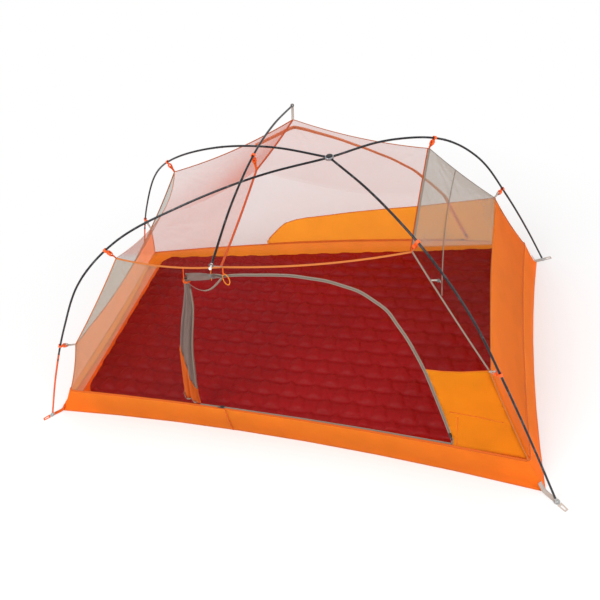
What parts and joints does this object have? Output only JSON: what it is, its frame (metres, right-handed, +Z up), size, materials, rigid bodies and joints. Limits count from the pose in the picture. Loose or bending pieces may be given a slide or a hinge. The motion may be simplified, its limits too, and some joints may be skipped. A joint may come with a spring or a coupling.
{
  "type": "tent body with poles and quilted pad",
  "caption": "Freestanding tent body of netting and nylon on a hubbed pole frame, with a bathtub floor, side doors and a quilted pad filling the floor.",
  "frame": {"origin": "on the ground at the middle of the bathtub floor", "axes": "+X towards the head end, where the hub is; -Y towards the front door; +Z up"},
  "size_m": [2.4461, 1.4464, 1.1144],
  "materials": {
    "pole": "black anodised",
    "lowest_pole": "orange anodised",
    "shock_cord": "braided",
    "ball_tip": "white",
    "pole_tip": "bare",
    "hub": "satin",
    "hub_cap": "black",
    "clip": "orange",
    "webbing": "woven webbing",
    "floor_fabric": "coated nylon",
    "roof_netting": "knitted mosquito netting",
    "wall_netting": "knitted mosquito netting with solid orange lower panels",
    "canopy_fabric": "ripstop nylon and netting",
    "tie_band": "webbing",
    "pad_fabric": "quilted, satin",
    "valve": "black",
    "zip_metal": "black",
    "cord": "braided",
    "toggle": "white",
    "cord_lock": "black"
  },
  "bodies": {
    "tent": {"front_head_leg_section_1": "pole", "front_head_leg_section_2": "pole", "front_head_leg_section_3": "pole", "front_head_leg_shock_cord": "shock_cord", "front_head_leg_foot_tip": "pole_tip", "front_foot_leg_section_1": "pole", "front_foot_leg_section_2": "pole", "front_foot_leg_section_3": "pole", "front_foot_leg_section_4": "lowest_pole", "front_foot_leg_shock_cord": "shock_cord", "front_foot_leg_foot_tip": "pole_tip", "rear_head_leg_section_1": "pole", "rear_head_leg_section_2": "pole", "rear_head_leg_section_3": "pole", "rear_head_leg_shock_cord": "shock_cord", "rear_head_leg_foot_tip": "pole_tip", "rear_foot_leg_section_1": "pole", "rear_foot_leg_section_2": "pole", "rear_foot_leg_section_3": "pole", "rear_foot_leg_section_4": "lowest_pole", "rear_foot_leg_shock_cord": "shock_cord", "rear_foot_leg_foot_tip": "pole_tip", "ridge_pole_front_section": "pole", "ridge_pole_rear_section": "pole", "ridge_pole_shock_cord": "shock_cord", "ridge_pole_front_tip": "ball_tip", "ridge_pole_rear_tip": "ball_tip", "hub_body": "hub", "hub_cap": "hub_cap", "front_wall": "wall_netting", "rear_wall": "wall_netting", "head_end_wall": "canopy_fabric", "foot_end_wall": "canopy_fabric", "roof_mesh": "roof_netting", "bathtub_floor": "floor_fabric", "quilted_pad": "pad_fabric", "pad_valve": "valve"},
    "front_door": {"front_door_roll": "canopy_fabric", "front_door_tie": "tie_band"},
    "rear_door": {"rear_door": "wall_netting"},
    "front_side_zip": {"front_side_zip_slider": "zip_metal"},
    "front_sill_zip": {"front_sill_zip_slider": "zip_metal"},
    "front_head_shoulder_clip_body": {"front_head_shoulder_clip": "clip"},
    "front_head_low_clip_body": {"front_head_low_clip": "clip"},
    "front_head_stake_loop_body": {"front_head_stake_loop": "webbing"},
    "front_foot_shoulder_clip_body": {"front_foot_shoulder_clip": "clip"},
    "front_foot_low_clip_body": {"front_foot_low_clip": "clip"},
    "front_foot_stake_loop_body": {"front_foot_stake_loop": "webbing"},
    "rear_side_zip": {"rear_side_zip_slider": "zip_metal"},
    "rear_sill_zip": {"rear_sill_zip_slider": "zip_metal"},
    "rear_head_shoulder_clip_body": {"rear_head_shoulder_clip": "clip"},
    "rear_head_low_clip_body": {"rear_head_low_clip": "clip"},
    "rear_head_stake_loop_body": {"rear_head_stake_loop": "webbing"},
    "rear_foot_shoulder_clip_body": {"rear_foot_shoulder_clip": "clip"},
    "rear_foot_low_clip_body": {"rear_foot_low_clip": "clip"},
    "rear_foot_stake_loop_body": {"rear_foot_stake_loop": "webbing"},
    "ridge_centre_clip_body": {"ridge_centre_clip": "clip"},
    "gear_loop_body": {"gear_loop": "cord"},
    "door_toggle": {"door_tie_toggle": "toggle"},
    "tie_bead": {"side_tie_bead": "cord_lock"}
  },
  "joints": [
    {"name": "front_door_swing", "type": "hinge", "parent": "tent", "child": "front_door", "pos_m": [-0.151, -0.44908, 0.899], "axis": [0.2068, 0.0878, 0.9744], "range_deg": [-10, 60]},
    {"name": "rear_door_swing", "type": "hinge", "parent": "tent", "child": "rear_door", "pos_m": [-0.151, 0.45129, 0.899], "axis": [0.2024, -0.2212, 0.954], "range_deg": [0, 75]},
    {"name": "front_side_zip_run", "type": "slide", "parent": "tent", "child": "front_side_zip", "axis": [-0.2698, 0.1747, 0.947], "range_m": [0, 0.325]},
    {"name": "front_sill_zip_run", "type": "slide", "parent": "tent", "child": "front_sill_zip", "axis": [0.998, -0.0631, 0], "range_m": [0, 0.977]},
    {"name": "front_head_shoulder_clip_turn", "type": "hinge", "parent": "tent", "child": "front_head_shoulder_clip_body", "pos_m": [0.67441, -0.33268, 0.95674], "axis": [0.6595, -0.5892, -0.4668], "range_deg": [-10, 10], "stiffness_Nm_per_rad": 0.02},
    {"name": "front_head_low_clip_turn", "type": "hinge", "parent": "tent", "child": "front_head_low_clip_body", "pos_m": [0.95416, -0.54598, 0.55482], "axis": [0.3904, -0.2622, -0.8825], "range_deg": [-10, 10], "stiffness_Nm_per_rad": 0.02},
    {"name": "front_head_stake_loop_lift", "type": "hinge", "parent": "tent", "child": "front_head_stake_loop_body", "pos_m": [1.19111, -0.70154, 0.0015], "axis": [-0.6866, -0.727, 0], "range_deg": [0, 100]},
    {"name": "front_foot_shoulder_clip_turn", "type": "hinge", "parent": "tent", "child": "front_foot_shoulder_clip_body", "pos_m": [-0.5714, -0.32519, 0.89367], "axis": [-0.7926, -0.3705, -0.4842], "range_deg": [-10, 10], "stiffness_Nm_per_rad": 0.02},
    {"name": "front_foot_low_clip_turn", "type": "hinge", "parent": "tent", "child": "front_foot_low_clip_body", "pos_m": [-0.94732, -0.47187, 0.44319], "axis": [-0.4902, -0.2079, -0.8464], "range_deg": [-10, 10], "stiffness_Nm_per_rad": 0.02},
    {"name": "front_foot_stake_loop_lift", "type": "hinge", "parent": "tent", "child": "front_foot_stake_loop_body", "pos_m": [-1.18798, -0.57967, 0.0015], "axis": [-0.6961, 0.7179, 0], "range_deg": [0, 100]},
    {"name": "rear_side_zip_run", "type": "slide", "parent": "tent", "child": "rear_side_zip", "axis": [-0.2584, -0.3319, 0.9072], "range_m": [0, 0.339]},
    {"name": "rear_sill_zip_run", "type": "slide", "parent": "tent", "child": "rear_sill_zip", "axis": [0.9992, 0.0392, 0], "range_m": [-0.976, 0]},
    {"name": "rear_head_shoulder_clip_turn", "type": "hinge", "parent": "tent", "child": "rear_head_shoulder_clip_body", "pos_m": [0.67441, 0.33268, 0.95674], "axis": [0.6595, 0.5892, -0.4668], "range_deg": [-10, 10], "stiffness_Nm_per_rad": 0.02},
    {"name": "rear_head_low_clip_turn", "type": "hinge", "parent": "tent", "child": "rear_head_low_clip_body", "pos_m": [0.95416, 0.54598, 0.55482], "axis": [0.3904, 0.2622, -0.8825], "range_deg": [-10, 10], "stiffness_Nm_per_rad": 0.02},
    {"name": "rear_head_stake_loop_lift", "type": "hinge", "parent": "tent", "child": "rear_head_stake_loop_body", "pos_m": [1.19384, 0.69732, 0.0015], "axis": [0.3823, -0.924, 0], "range_deg": [0, 100]},
    {"name": "rear_foot_shoulder_clip_turn", "type": "hinge", "parent": "tent", "child": "rear_foot_shoulder_clip_body", "pos_m": [-0.5714, 0.32519, 0.89367], "axis": [-0.7926, 0.3705, -0.4842], "range_deg": [-10, 10], "stiffness_Nm_per_rad": 0.02},
    {"name": "rear_foot_low_clip_turn", "type": "hinge", "parent": "tent", "child": "rear_foot_low_clip_body", "pos_m": [-0.94732, 0.47187, 0.44319], "axis": [-0.4902, 0.2079, -0.8464], "range_deg": [-10, 10], "stiffness_Nm_per_rad": 0.02},
    {"name": "rear_foot_stake_loop_lift", "type": "hinge", "parent": "tent", "child": "rear_foot_stake_loop_body", "pos_m": [-1.18908, 0.5784, 0.0015], "axis": [0.6039, 0.7971, 0], "range_deg": [0, 100]},
    {"name": "ridge_centre_clip_turn", "type": "hinge", "parent": "tent", "child": "ridge_centre_clip_body", "pos_m": [0.022, 0, 1.106], "axis": [0, 1, 0], "range_deg": [-10, 10], "stiffness_Nm_per_rad": 0.02},
    {"name": "gear_loop_swing", "type": "hinge", "parent": "tent", "child": "gear_loop_body", "pos_m": [0.036, -0.512, 0.957], "axis": [1, 0, 0], "range_deg": [-60, 10]},
    {"name": "door_toggle_run", "type": "slide", "parent": "tent", "child": "door_toggle", "axis": [0, 0, -1], "range_m": [0, 0.02]},
    {"name": "tie_bead_run", "type": "slide", "parent": "tent", "child": "tie_bead", "axis": [0.4853, 0.5546, -0.6759], "range_m": [-0.01, 0.01]}
  ]
}
